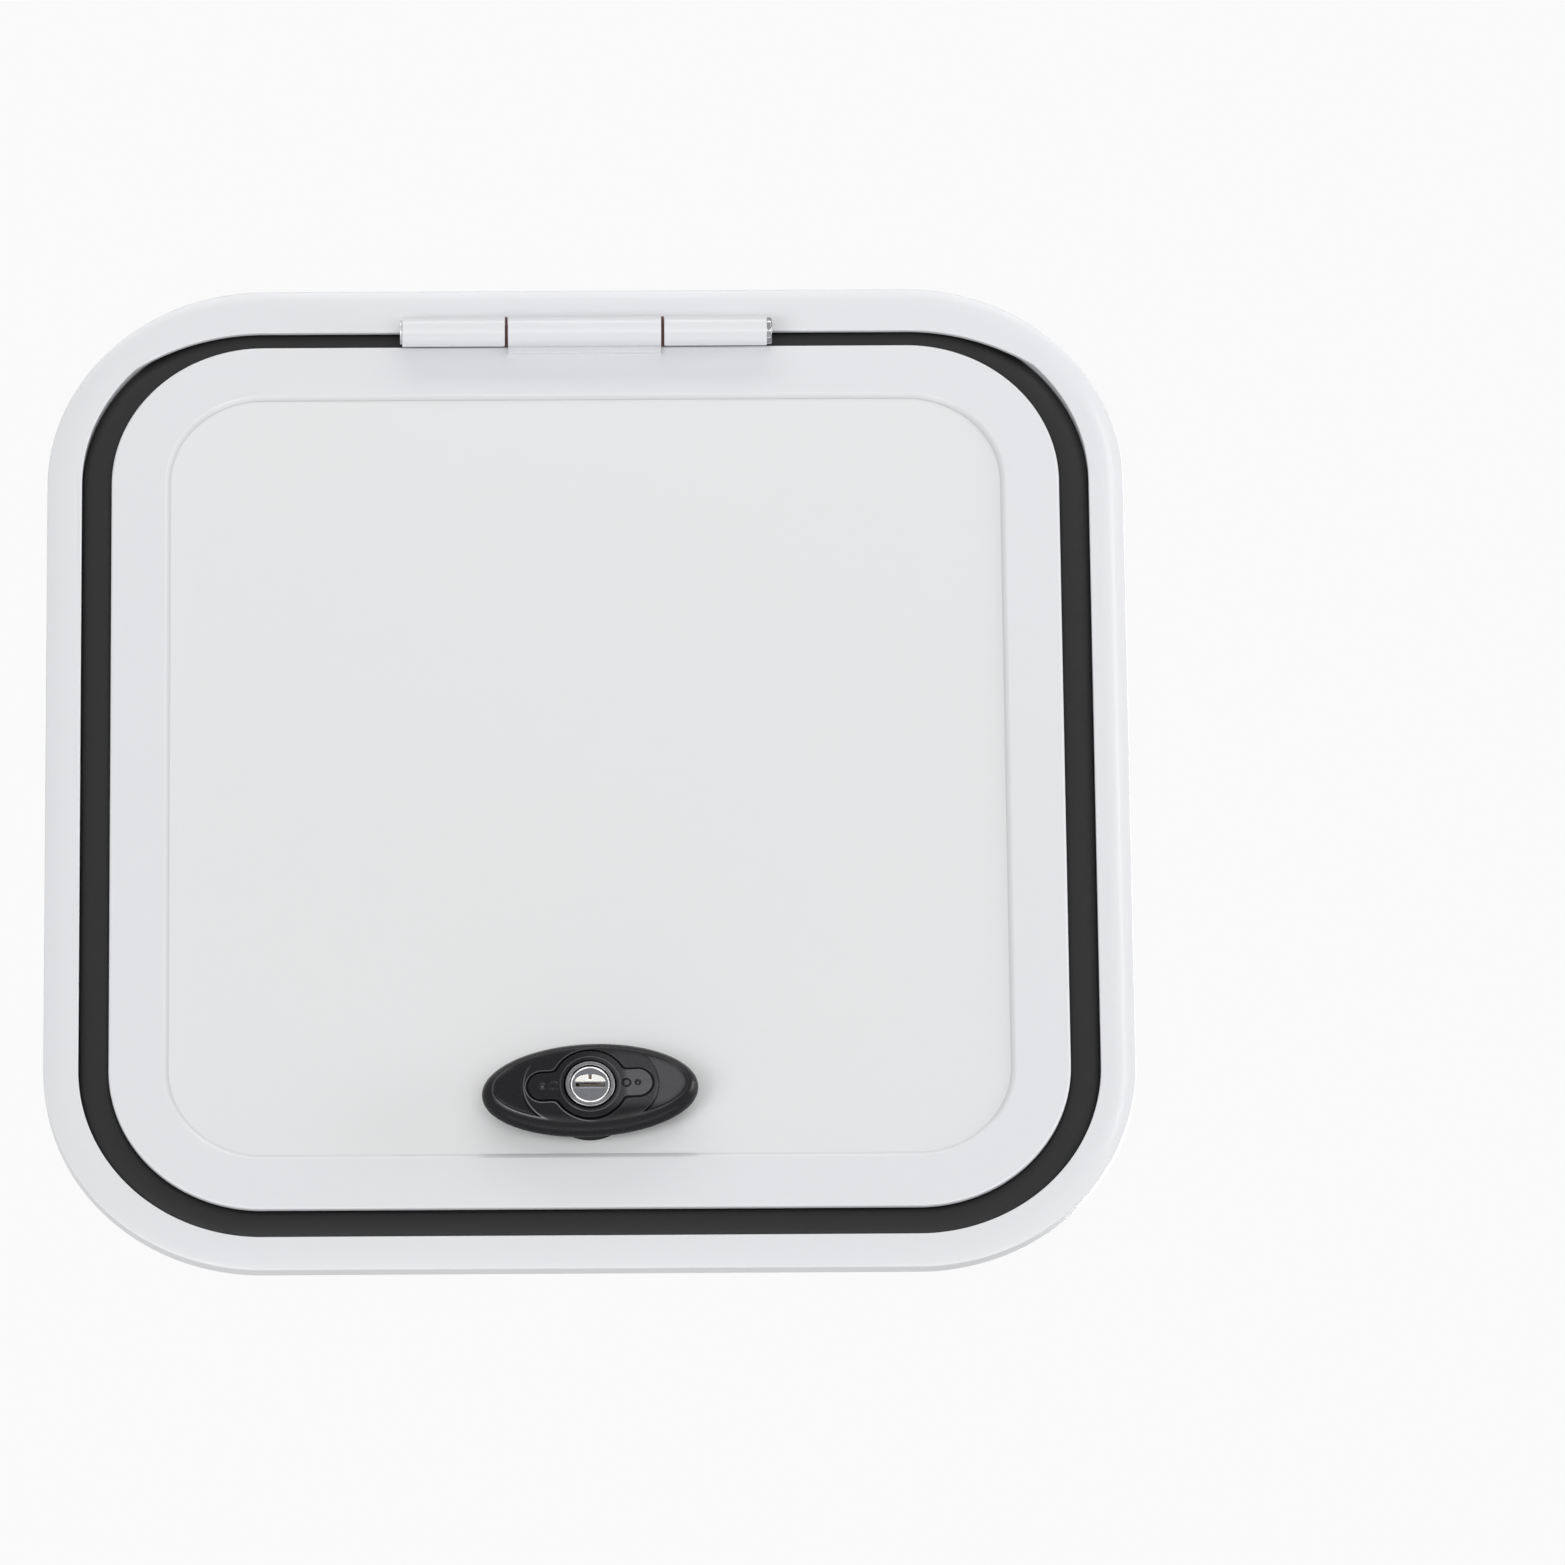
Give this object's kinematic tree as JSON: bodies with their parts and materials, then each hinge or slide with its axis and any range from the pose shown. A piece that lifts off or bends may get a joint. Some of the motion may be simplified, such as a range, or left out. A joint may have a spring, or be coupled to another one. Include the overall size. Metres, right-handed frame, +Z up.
{
  "type": "rv compartment door",
  "caption": "Square white hatch door with rounded corners, hung from a top hinge in a wall frame with a black weather seal and a black oval turning lock.",
  "frame": {"origin": "centre of the frame flange's wall face, the plane that lies on the vehicle wall", "axes": "+X to the right seen from outside, +Y into the vehicle, +Z up towards the hinge"},
  "size_m": [0.399, 0.0476, 0.399],
  "materials": {
    "white_paint": "gloss white powder coat",
    "white_skin": "satin white laminate",
    "foam": "closed-cell foam",
    "seal_rubber": "satin black rubber",
    "black_plastic": "fine-grained black moulding",
    "maroon_fibre": "dark red fibre",
    "chrome": "polished chrome",
    "steel": "zinc-plated steel"
  },
  "bodies": {
    "frame": {"outer_frame": "white_paint", "frame_seal": "seal_rubber", "hinge_knuckle_left": "white_paint", "hinge_knuckle_right": "white_paint", "hinge_washer_left": "maroon_fibre", "hinge_washer_right": "maroon_fibre", "hinge_pin": "chrome", "hinge_pin_cap": "steel", "latch_keeper": "black_plastic"},
    "leaf": {"leaf_frame": "white_paint", "outer_panel": "white_skin", "panel_core": "foam", "inner_panel": "white_skin", "hinge_knuckle_leaf": "white_paint", "lock_housing": "steel", "lock_rosette": "black_plastic", "lock_nut": "black_plastic"},
    "handle": {"lock_handle": "black_plastic", "lock_bezel": "chrome", "lock_spindle": "steel", "latch_cam": "steel", "cam_screw": "steel"},
    "key": {"key_plug": "chrome", "key_shutter": "chrome"}
  },
  "joints": [
    {"name": "leaf_hinge", "type": "hinge", "parent": "frame", "child": "leaf", "pos_m": [0, -0.0128, 0.1786], "axis": [-1, 0, 0], "range_deg": [0, 170]},
    {"name": "handle_turn", "type": "hinge", "parent": "leaf", "child": "handle", "pos_m": [0, -0.008, -0.1329], "axis": [0, 1, 0], "range_deg": [0, 90]},
    {"name": "key_turn", "type": "hinge", "parent": "handle", "child": "key", "pos_m": [0, -0.008, -0.1329], "axis": [0, 1, 0], "range_deg": [0, 90]}
  ]
}
